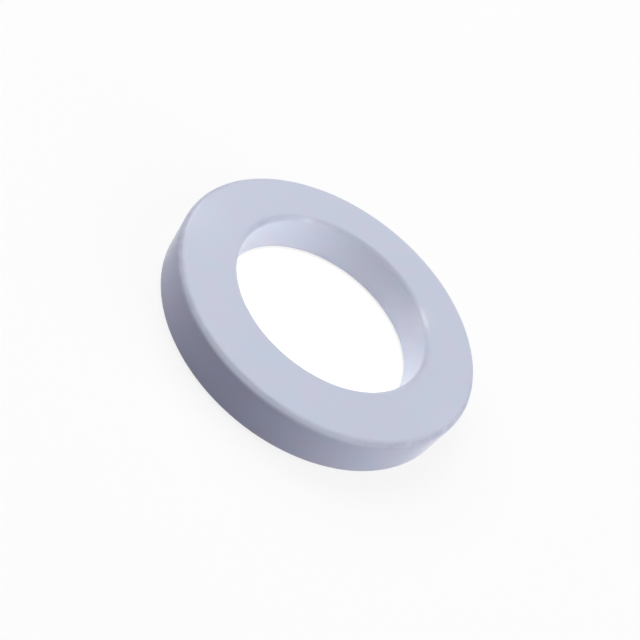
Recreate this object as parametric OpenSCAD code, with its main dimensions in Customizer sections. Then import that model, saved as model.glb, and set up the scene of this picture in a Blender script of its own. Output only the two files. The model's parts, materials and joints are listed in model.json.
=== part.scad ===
// Ferrite toroid core: one flat, pale coated ring, lying on its face.
// Millimetres, +Z up. The origin is the centre of the face that the ring lies on,
// and Z is the ring's axis. The whole body is one section turned once round Z.

/* [Ring] */
// Diameter of the bore
bore_d = 55.6; // [20:0.2:120]
// Width of the section, from the bore to the outer wall
ring_w = 15.7; // [9:0.1:40]
// Height of the section, from face to face
ring_h = 12.7; // [8:0.1:30]

/* [Outer edge] */
// Width of the broken outer edge, measured across the face
outer_edge_w = 1.2; // [0.4:0.1:2.5]
// Drop of the broken outer edge, measured down the wall
outer_edge_h = 1; // [0.4:0.1:2.5]
// Radius at which the outer edge runs into the wall and into the face
outer_blend_r = 1.2; // [0.1:0.1:3]

/* [Bore edge] */
// Width of the broken bore edge, measured across the face
bore_edge_w = 1.1; // [0.4:0.1:2.5]
// Drop of the broken bore edge, measured down the bore
bore_edge_h = 1.1; // [0.4:0.1:2.5]
// Radius at which the bore edge runs into the bore and into the face
bore_blend_r = 1.2; // [0.1:0.1:3]

/* [Hidden] */

bore_r = bore_d / 2;
outer_r = bore_r + ring_w;
// Pale lavender-blue of the coat
coat_colour = [0.78, 0.8, 0.87];
// Steps of the full turn, and of each small blend circle
turn_steps = 180;
blend_steps = 48;
// Share of a slanted edge that its two blends may take up together
blend_share = 0.98;

// The largest radius whose two blends still leave some of the slanted edge flat
function widest_blend(w, h) =
    blend_share * norm([w, h]) / (tan(atan2(w, h) / 2) + tan(atan2(h, w) / 2));
outer_blend = min(outer_blend_r, widest_blend(outer_edge_w, outer_edge_h));
bore_blend = min(bore_blend_r, widest_blend(bore_edge_w, bore_edge_h));

// Corners of the half section before blending, as [radius, height, blend radius],
// once round it from the lower end of the bore
corners = [
    [bore_r, bore_edge_h, bore_blend],
    [bore_r + bore_edge_w, 0, bore_blend],
    [outer_r - outer_edge_w, 0, outer_blend],
    [outer_r, outer_edge_h, outer_blend],
    [outer_r, ring_h - outer_edge_h, outer_blend],
    [outer_r - outer_edge_w, ring_h, outer_blend],
    [bore_r + bore_edge_w, ring_h, bore_blend],
    [bore_r, ring_h - bore_edge_h, bore_blend]
];
last = len(corners) - 1;

function at(i) = let(c = corners[(i + len(corners)) % len(corners)]) [c.x, c.y];
function blend(i) = corners[i].z;
function unit(v) = v / norm(v);
// Directions from a corner to its neighbours, and half the angle between them
function back(i) = unit(at(i - 1) - at(i));
function ahead(i) = unit(at(i + 1) - at(i));
function half_angle(i) = acos(back(i) * ahead(i)) / 2;
// Distance from a corner to the two points where its blend meets the flats
function run_out(i) = blend(i) / tan(half_angle(i));
function blend_centre(i) =
    at(i) + unit(back(i) + ahead(i)) * blend(i) / sin(half_angle(i));

// Half section: a straight-sided body between the run-out points, and a circle in each corner
module ring_section() {
    polygon([for (i = [0 : last])
        each [at(i) + run_out(i) * back(i), at(i) + run_out(i) * ahead(i)]]);
    for (i = [0 : last])
        translate(blend_centre(i)) circle(r = blend(i), $fn = blend_steps);
}

module toroid_core() {
    color(coat_colour)
        rotate_extrude($fn = turn_steps) ring_section();
}

toroid_core();
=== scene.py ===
import json
import math
import bmesh
import bpy
from mathutils import Matrix, Vector, noise


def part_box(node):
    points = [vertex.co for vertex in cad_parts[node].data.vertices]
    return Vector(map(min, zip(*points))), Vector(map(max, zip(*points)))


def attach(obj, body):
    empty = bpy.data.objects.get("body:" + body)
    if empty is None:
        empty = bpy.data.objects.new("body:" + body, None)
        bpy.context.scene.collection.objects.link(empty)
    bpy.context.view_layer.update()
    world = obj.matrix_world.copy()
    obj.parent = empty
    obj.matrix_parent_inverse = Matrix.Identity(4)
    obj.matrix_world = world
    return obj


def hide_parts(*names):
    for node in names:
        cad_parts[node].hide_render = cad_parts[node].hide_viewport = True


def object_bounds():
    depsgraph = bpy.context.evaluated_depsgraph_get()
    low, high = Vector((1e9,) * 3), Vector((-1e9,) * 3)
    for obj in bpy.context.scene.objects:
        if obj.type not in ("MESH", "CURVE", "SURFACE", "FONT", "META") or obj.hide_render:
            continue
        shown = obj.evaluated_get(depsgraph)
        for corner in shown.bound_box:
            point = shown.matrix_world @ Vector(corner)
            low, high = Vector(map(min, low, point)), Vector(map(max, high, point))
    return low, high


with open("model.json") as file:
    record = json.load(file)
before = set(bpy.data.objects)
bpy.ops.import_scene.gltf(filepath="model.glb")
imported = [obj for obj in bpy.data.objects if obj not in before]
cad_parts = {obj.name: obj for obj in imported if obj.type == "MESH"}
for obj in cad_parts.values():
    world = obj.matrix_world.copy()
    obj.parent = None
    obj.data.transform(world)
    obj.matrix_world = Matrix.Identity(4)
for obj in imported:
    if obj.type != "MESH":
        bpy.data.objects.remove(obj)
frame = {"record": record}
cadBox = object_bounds()
mm = 0.001
print("frame loaded, box", [round(v / mm, 2) for corner in cadBox for v in corner])


# Shader maths: a socket that understands + - * ** and abs, with sockets and plain numbers
class Wire:
    def __init__(self, shader, socket):
        self.shader = shader
        self.socket = socket

    def combine(self, operation, first, second):
        node = self.shader.add("ShaderNodeMath", {"operation": operation}, {0: first, 1: second})
        return node.out()

    def __add__(self, other):
        return self.combine("ADD", self, other)

    def __radd__(self, other):
        return self.combine("ADD", other, self)

    def __sub__(self, other):
        return self.combine("SUBTRACT", self, other)

    def __rsub__(self, other):
        return self.combine("SUBTRACT", other, self)

    def __mul__(self, other):
        return self.combine("MULTIPLY", self, other)

    def __rmul__(self, other):
        return self.combine("MULTIPLY", other, self)

    def __pow__(self, other):
        return self.combine("POWER", self, other)

    def __abs__(self):
        return self.combine("ABSOLUTE", self, 0)


class Part:                                    # one node, whose outputs are wires
    def __init__(self, shader, node):
        self.shader = shader
        self.node = node

    def out(self, name=0):
        return Wire(self.shader, self.node.outputs[name])


class Shader:                                  # a node tree, filled from empty
    def __init__(self, tree):
        self.tree = tree
        tree.nodes.clear()

    def add(self, kind, settings=None, sockets=None):
        # a socket takes a plain value or a wire
        node = self.tree.nodes.new(kind)
        for name, value in (settings or {}).items():
            setattr(node, name, value)
        for name, value in (sockets or {}).items():
            if isinstance(value, Wire):
                self.tree.links.new(value.socket, node.inputs[name])
            else:
                node.inputs[name].default_value = value
        return Part(self, node)

    def mix(self, share, first, second):
        return self.add("ShaderNodeMixShader", {}, {"Fac": share, 1: first.out(), 2: second.out()})


def newMaterial(name):
    material = bpy.data.materials.new(name)
    material.use_nodes = True
    return material, Shader(material.node_tree)


def toObject(name, bm, material):
    mesh = bpy.data.meshes.new(name)
    bm.to_mesh(mesh)
    bm.free()
    mesh.materials.append(material)
    made = bpy.data.objects.new(name, mesh)
    bpy.context.scene.collection.objects.link(made)
    return made


# Ring: one section with broken, softly blended edges, spun once round Z
ringCore = {
    "outerEdge": (1.2 * mm, 1.0 * mm),         # across the face, down the wall
    "outerBlend": 1.2 * mm,                    # radius where the slant runs into wall and face
    "boreEdge": (1.1 * mm, 1.1 * mm),
    "boreBlend": 1.2 * mm,
    "blendSteps": 6,
    "flatStep": 0.6 * mm,                      # longest edge left on the flats
    "turnSteps": 480,
    "mergeWithin": 0.001 * mm,
}


def mountRadius(name):
    mounts = {mount["name"]: mount for mount in frame["record"]["mounts"]}
    return mounts[name]["dims"]["r_mm"] * mm


low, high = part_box("toroid_core")
boreR, outerR = mountRadius("bore"), high.x
middle = (low.z + high.z) / 2


def edgeMiddle(edge):
    # radius of the middle of a broken edge, and its height above the ring's own middle
    side, wall = (-1, outerR) if edge == "outer" else (1, boreR)
    width, drop = ringCore[edge + "Edge"]
    return wall + side * width / 2, high.z - drop / 2 - middle


def blendOffset(radius, width, drop):
    # mean run-out of a blend at the two corners of a slanted edge
    slant = math.atan2(width, drop)
    return radius * (math.tan(slant / 2) + math.tan(math.pi / 4 - slant / 2)) / 2


def ringSection():
    outW, outH = ringCore["outerEdge"]
    inW, inH = ringCore["boreEdge"]
    bm = bmesh.new()
    boreCorners = [
        (boreR, low.z + inH),
        (boreR, high.z - inH),
        (boreR + inW, high.z),
        (boreR + inW, low.z),
    ]
    outerCorners = [
        (outerR - outW, low.z),
        (outerR, low.z + outH),
        (outerR, high.z - outH),
        (outerR - outW, high.z),
    ]
    bore = [bm.verts.new((x, 0, z)) for x, z in boreCorners]
    outer = [bm.verts.new((x, 0, z)) for x, z in outerCorners]
    bm.faces.new([bore[0], bore[3], *outer, bore[2], bore[1]])
    for corners, radius, (width, drop) in (
        (outer, ringCore["outerBlend"], ringCore["outerEdge"]),
        (bore, ringCore["boreBlend"], ringCore["boreEdge"]),
    ):
        bmesh.ops.bevel(bm, geom=corners, offset=blendOffset(radius, width, drop), offset_type="OFFSET",
                        segments=ringCore["blendSteps"], profile=0.5, affect="VERTICES", material=-1)
    bmesh.ops.delete(bm, geom=bm.faces[:], context="FACES_ONLY")
    for edge in bm.edges[:]:
        cuts = math.ceil(edge.calc_length() / ringCore["flatStep"]) - 1
        if cuts > 0:                           # so that the coat's waves show on the flats
            bmesh.ops.subdivide_edges(bm, edges=[edge], cuts=cuts)
    return bm


# Build-up of the coat: gentle waves, mostly along the edges, and the beads and hollows
# where it gathered or drew back as it cured
coatWaves = {
    "length": 5.0 * mm,                        # of a cell of the noise
    "height": 0.03 * mm,                       # along the edges
    "flatShare": 0.12,                         # of that height, on the flats
    "edgeReach": 1.3 * mm,                     # how far from an edge its waves die out
}
# Angle and spread in degrees round the ring, and shift from the edge's middle towards the face
coatMarks = [
    {"edge": "bore", "angle": 40, "spread": 7, "shift": 0.0 * mm, "reach": 0.55 * mm, "lift": 0.06 * mm},
    {"edge": "bore", "angle": 134, "spread": 4, "shift": -0.2 * mm, "reach": 0.4 * mm, "lift": 0.05 * mm},
    {"edge": "bore", "angle": 123, "spread": 6, "shift": -0.8 * mm, "reach": 0.4 * mm, "lift": -0.08 * mm},
    {"edge": "bore", "angle": 157, "spread": 14, "shift": -0.2 * mm, "reach": 0.5 * mm, "lift": -0.08 * mm},
    {"edge": "outer", "angle": 225, "spread": 5, "shift": -0.1 * mm, "reach": 0.4 * mm, "lift": 0.06 * mm},
    {"edge": "outer", "angle": 262, "spread": 12, "shift": 0.1 * mm, "reach": 0.6 * mm, "lift": -0.06 * mm},
    {"edge": "outer", "angle": 274, "spread": 2, "shift": 1.0 * mm, "reach": 0.4 * mm, "lift": 0.08 * mm},
    {"edge": "outer", "angle": 296, "spread": 2, "shift": 1.0 * mm, "reach": 0.4 * mm, "lift": 0.08 * mm},
]


def edgePlace(edge, radius, height):
    # distance along a broken edge, from its middle towards the face, and distance out of it
    side = -1 if edge == "outer" else 1
    width, drop = ringCore[edge + "Edge"]
    edgeR, edgeRise = edgeMiddle(edge)
    across = (radius - edgeR) * side
    down = height - middle - edgeRise
    slant = math.hypot(width, drop)
    return (across * width + down * drop) / slant, (down * width - across * drop) / slant


def bell(value, spread):
    # 1 at no distance, and next to nothing beyond twice the spread
    return math.exp(-(value / spread) ** 2)


def coatLift(place):
    # how far the coat stands out at a point of the bare ring; the marks are in its upper half only,
    # and the lower half counts as lying on the upper face, so that its edges have weaker waves
    radius = math.hypot(place.x, place.y)
    angle = math.degrees(math.atan2(place.y, place.x))
    height = place.z + high.z - low.z if place.z < middle else place.z
    nearEdge = 0.0
    lift = 0.0
    for edge in ("outer", "bore"):
        along, out = edgePlace(edge, radius, height)
        nearEdge += bell(math.hypot(along, out), coatWaves["edgeReach"])
        if place.z > middle:
            for mark in coatMarks:
                if mark["edge"] == edge:
                    turn = (angle - mark["angle"] + 180) % 360 - 180
                    across = bell(along - mark["shift"], mark["reach"]) * bell(out, mark["reach"])
                    lift += mark["lift"] * bell(turn, mark["spread"]) * across
    share = coatWaves["flatShare"] + (1 - coatWaves["flatShare"]) * nearEdge
    return lift + share * coatWaves["height"] * noise.noise(place / coatWaves["length"])


def layCoat(bm):
    # every point stays between the bore and the outer wall, and between the two faces
    bm.normal_update()
    for vert in bm.verts:
        vert.co += vert.normal * coatLift(vert.co)
        radius = math.hypot(vert.co.x, vert.co.y)
        kept = min(max(radius, boreR), outerR) / radius
        vert.co = (vert.co.x * kept, vert.co.y * kept, min(max(vert.co.z, low.z), high.z))


# Coat: pale lavender-blue, smooth and semi-matt, very faintly mottled, with a fine orange peel,
# painted shade along parts of its edges in the tint of a coat worn thin, and glossier where it gathered, in
# beads or on the wall
coatFinish = {
    "cool": (0.540, 0.612, 0.735, 1.0),
    "warm": (0.590, 0.588, 0.715, 1.0),
    "mottleSize": 6.0 * mm,
    "mottleDetail": 3.0,
    "mottleDepth": 2.0,                        # how far the two tints part
    "wornAndShadedTint": (0.34, 0.35, 0.47, 1.0),           # tint of the painted shade on the edges, as of a coat worn thin over the dark body
    "wearAndShade": 0.42,                              # share of that painted shade along the outer edges, darker at the two sides
    "wearAndShadeReach": 1.5 * mm,                     # from the middle of the edge
    "wearAndShadeSize": 3.0 * mm,                      # of the patches that break it up
    "wearAndShadeDetail": 3.0,
    "roughness": 0.46,
    "roughnessSpread": 0.10,
    "patchSize": 4.0 * mm,                     # of the patches in which it varies
    "patchDetail": 2.0,
    "glossRoughness": 0.28,                    # of the film where it is glossier
    "ior": 1.5,
    "peelSize": 0.8 * mm,
    "peelDetail": 1.0,
    "peelDepth": 0.008 * mm,
    "peelStrength": 0.7,
}
# Where painted shade and gloss gather: an angle in degrees, how far below the edge's middle the spot is
# centred, how far it reaches from there, and how strong it is; the painted shade is in the tint of a coat
# worn thin
wornAndShadedSpots = [
    {"edge": "outer", "angle": 223, "drop": 0 * mm, "reach": 26 * mm, "wearAndShade": 0.32},
    {"edge": "outer", "angle": 320, "drop": 0 * mm, "reach": 27 * mm, "wearAndShade": 0.40},
    {"edge": "bore", "angle": 4, "drop": 0 * mm, "reach": 20 * mm, "wearAndShade": 0.28},
    {"edge": "bore", "angle": 165, "drop": 0 * mm, "reach": 20 * mm, "wearAndShade": 0.36},
]
glossSpots = [
    {"edge": "bore", "angle": 40, "drop": 0 * mm, "reach": 6.0 * mm, "gloss": 1.0},
    {"edge": "bore", "angle": 135, "drop": 0 * mm, "reach": 2.6 * mm, "gloss": 1.0},
    {"edge": "outer", "angle": 192, "drop": 6 * mm, "reach": 16 * mm, "gloss": 0.9},
    {"edge": "outer", "angle": 345, "drop": 6 * mm, "reach": 16 * mm, "gloss": 1.0},
]


def coatMaterial():
    material, shader = newMaterial("lavenderCoat")
    place = shader.add("ShaderNodeTexCoord").out("Object")

    def grain(name):
        # noise that averages about a half
        return shader.add("ShaderNodeTexNoise", {}, {
            "Vector": place,
            "Scale": 1 / coatFinish[name + "Size"],
            "Detail": coatFinish[name + "Detail"],
        }).out("Fac")

    def fade(distance, reach):
        # 1 at no distance, running out to 0 at the reach
        settings = {"interpolation_type": "SMOOTHSTEP"}
        return shader.add("ShaderNodeMapRange", settings, {
            "Value": distance,
            "From Min": reach,
            "From Max": 0.0,
        }).out("Result")

    def mixTint(share, first, second):
        sockets = {"Factor": share, "A": first, "B": second}
        return shader.add("ShaderNodeMix", {"data_type": "RGBA"}, sockets).out("Result")

    def nearSpot(spot):
        edgeR, edgeRise = edgeMiddle(spot["edge"])
        turn = math.radians(spot["angle"])
        centre = (edgeR * math.cos(turn), edgeR * math.sin(turn), edgeRise + middle - spot["drop"])
        away = shader.add("ShaderNodeVectorMath", {"operation": "DISTANCE"}, {0: place, 1: centre})
        return fade(away.out("Value"), spot["reach"])

    parts = shader.add("ShaderNodeSeparateXYZ", {}, {0: place})
    radius = (parts.out("X") ** 2 + parts.out("Y") ** 2) ** 0.5
    rise = abs(parts.out("Z") - middle)

    def wornAndShadedLine(edge):
        # painted shade in the tint of a coat worn thin, along the upper and the lower edge alike, in the
        # spots and, outside, at the two sides
        edgeR, edgeRise = edgeMiddle(edge)
        away = ((radius - edgeR) ** 2 + (rise - edgeRise) ** 2) ** 0.5
        share = sum(nearSpot(spot) * spot["wearAndShade"] for spot in wornAndShadedSpots if spot["edge"] == edge)
        if edge == "outer":
            share = share + parts.out("X") ** 2 * (coatFinish["wearAndShade"] / outerR ** 2)
        return fade(away, coatFinish["wearAndShadeReach"]) * share

    # painted shade along the edges, broken up in patches, mixed over the mottled coat colour
    wornAndShaded = (wornAndShadedLine("outer") + wornAndShadedLine("bore")) * grain("wearAndShade") * 2
    mottle = (grain("mottle") - 0.5) * coatFinish["mottleDepth"] + 0.5
    tint = mixTint(wornAndShaded, mixTint(mottle, coatFinish["cool"], coatFinish["warm"]), coatFinish["wornAndShadedTint"])

    patches = grain("patch") - 0.5
    peel = shader.add("ShaderNodeBump", {}, {
        "Strength": coatFinish["peelStrength"],
        "Distance": coatFinish["peelDepth"],
        "Height": grain("peel"),
    })
    surface = shader.add("ShaderNodeBsdfPrincipled", {}, {
        "Base Color": tint,
        "Roughness": coatFinish["roughness"] + patches * coatFinish["roughnessSpread"],
        "Coat Weight": sum(nearSpot(spot) * spot["gloss"] for spot in glossSpots),
        "Coat Roughness": coatFinish["glossRoughness"],
        "IOR": coatFinish["ior"],
        "Normal": peel.out("Normal"),
    })
    shader.add("ShaderNodeOutputMaterial", {}, {"Surface": surface.out("BSDF")})
    return material


def makeRing():
    bm = ringSection()
    bmesh.ops.spin(bm, geom=bm.verts[:] + bm.edges[:], cent=(0, 0, 0), axis=(0, 0, 1),
                   steps=ringCore["turnSteps"], angle=2 * math.pi, use_merge=True)
    bmesh.ops.remove_doubles(bm, verts=bm.verts[:], dist=ringCore["mergeWithin"])
    bmesh.ops.recalc_face_normals(bm, faces=bm.faces[:])
    layCoat(bm)
    for face in bm.faces:
        face.smooth = True
    return toObject("coated_ring", bm, coatMaterial())


ring = makeRing()
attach(ring, "root")
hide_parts("toroid_core")
print("ring made:", len(ring.data.polygons), "faces")


# Floor: plain and pale; the camera and a gloss see it almost white, and it keeps the ring's shadow
paleFloor = {
    "size": 8.0,                               # metres across
    "drop": 0.01 * mm,                         # clear of the ring's lower face
    "shown": (0.96, 0.96, 0.96, 1.0),          # colour that the camera sees, also behind the floor
    "bounce": (0.33, 0.30, 0.42, 1.0),         # colour of the light that it throws back
    "whiteShare": 0.84,                        # of plain white light in what the camera sees
}


def seeingRays(shader):
    # 1 or more for a ray from the camera, from a gloss or through glass, and 0 for any other
    path = shader.add("ShaderNodeLightPath")
    return path.out("Is Camera Ray") + path.out("Is Glossy Ray") + path.out("Is Transmission Ray")


def makeFloor():
    material, shader = newMaterial("paleFloor")
    shown = shader.add("ShaderNodeBsdfDiffuse", {}, {"Color": paleFloor["shown"]})
    bounce = shader.add("ShaderNodeBsdfDiffuse", {}, {"Color": paleFloor["bounce"]})
    white = shader.add("ShaderNodeEmission", {}, {"Strength": 1.0})
    pale = shader.mix(paleFloor["whiteShare"], shown, white)
    mixed = shader.mix(seeingRays(shader), bounce, pale)
    shader.add("ShaderNodeOutputMaterial", {}, {"Surface": mixed.out()})
    bm = bmesh.new()
    bmesh.ops.create_grid(bm, x_segments=2, y_segments=2, size=paleFloor["size"] / 2)
    bmesh.ops.translate(bm, vec=(0, 0, -paleFloor["drop"]), verts=bm.verts[:])
    return toObject("pale_floor", bm, material)


floor = makeFloor()
print("floor made")

# Light: a large soft box on either side, each with a small bright core, two low ones at the right,
# and a narrow lamp straight above that lights the floor inside the bore. Angles are in degrees
boxDistance = 2.0                              # metres from the middle of the ring's lower face
softBoxes = {
    "leftKey": {"azimuth": 154, "elevation": 50, "size": (2.4, 2.0), "watts": 40.1},
    "leftCore": {"azimuth": 175, "elevation": 30, "size": (0.48, 0.48), "watts": 3.2},
    "rightKey": {"azimuth": 0, "elevation": 38, "size": (2.0, 1.6), "watts": 21.8},
    "rightCore": {"azimuth": 354, "elevation": 34, "size": (0.24, 0.24), "watts": 1.2},
    "lowFront": {"azimuth": 330, "elevation": 8, "size": (0.8, 0.52), "watts": 6.0},
    "lowRight": {"azimuth": 10, "elevation": 4, "size": (0.4, 0.24), "watts": 7.2},
}
boreLamp = {
    "height": 1.0,                             # metres
    "radius": 27.7 * mm,                       # of the patch of floor that it lights
    "softness": 1 * mm,
    "blend": 0.05,
    "colour": (0.93, 1.0, 0.66),
    "watts": 124.0,
}


def makeLamp(name, kind, place, settings):
    # every lamp looks at the middle of the ring's lower face
    lamp = bpy.data.lights.new(name, kind)
    for setting, value in settings.items():
        setattr(lamp, setting, value)
    made = bpy.data.objects.new(name, lamp)
    bpy.context.scene.collection.objects.link(made)
    made.location = place
    made.rotation_euler = (-place).to_track_quat("-Z", "Y").to_euler()
    return made


def makeSoftBox(name, azimuth, elevation, size, watts):
    turn, rise = math.radians(azimuth), math.radians(elevation)
    aim = Vector((math.cos(turn) * math.cos(rise), math.sin(turn) * math.cos(rise), math.sin(rise)))
    return makeLamp(name, "AREA", boxDistance * aim, {
        "shape": "RECTANGLE",
        "size": size[0],
        "size_y": size[1],
        "energy": watts,
    })


def makeBoreLamp():
    return makeLamp("boreLamp", "SPOT", Vector((0, 0, boreLamp["height"])), {
        "spot_size": 2 * math.atan(boreLamp["radius"] / boreLamp["height"]),
        "spot_blend": boreLamp["blend"],
        "shadow_soft_size": boreLamp["softness"],
        "energy": boreLamp["watts"],
        "color": boreLamp["colour"],
    })


for boxName, box in softBoxes.items():
    makeSoftBox(boxName, **box)
makeBoreLamp()


def makeWorld():
    world = bpy.data.worlds.new("studio")
    bpy.context.scene.world = world
    world.use_nodes = True
    shader = Shader(world.node_tree)
    dark = shader.add("ShaderNodeBackground", {}, {"Strength": 0.0})
    pale = shader.add("ShaderNodeBackground", {}, {"Color": paleFloor["shown"], "Strength": 1.0})
    mixed = shader.mix(seeingRays(shader), dark, pale)
    shader.add("ShaderNodeOutputWorld", {}, {"Surface": mixed.out()})


makeWorld()
print("lights made")

# Camera: close to the ring, above its front, and turned so that the ring's axis leans to the upper right
cameraView = {
    "elevation": 39.54,                        # degrees above the ring's faces
    "roll": 39.08,                             # degrees
    "distance": 219.9 * mm,                    # along the line of sight, to the ring's middle
    "focalPixels": 838.6,
    "middlePixel": (325.3, 313.5),             # where the ring's middle lies
    "pictureSide": 640,
    "sensorWidth": 36.0,
    "nearest": 0.01,                           # metres, and so is the farthest that it sees
    "farthest": 20.0,
}


def makeCamera():
    half = cameraView["pictureSide"] / 2
    focal = cameraView["focalPixels"]
    away = cameraView["distance"]
    lens = bpy.data.cameras.new("camera")
    lens.sensor_width = cameraView["sensorWidth"]
    lens.lens = focal / cameraView["pictureSide"] * cameraView["sensorWidth"]
    lens.clip_start = cameraView["nearest"]
    lens.clip_end = cameraView["farthest"]
    tilt = Matrix.Rotation(math.radians(90 - cameraView["elevation"]), 3, "X")
    turn = tilt @ Matrix.Rotation(math.radians(cameraView["roll"]), 3, "Z")
    right = (cameraView["middlePixel"][0] - half) / focal * away
    down = (cameraView["middlePixel"][1] - half) / focal * away
    ringMiddle = (cadBox[0] + cadBox[1]) / 2
    made = bpy.data.objects.new("camera", lens)
    bpy.context.scene.collection.objects.link(made)
    made.location = ringMiddle - turn @ Vector((right, -down, -away))
    made.rotation_euler = turn.to_euler()
    bpy.context.scene.camera = made


makeCamera()
bpy.context.scene.view_settings.view_transform = "Standard"
print("camera made")
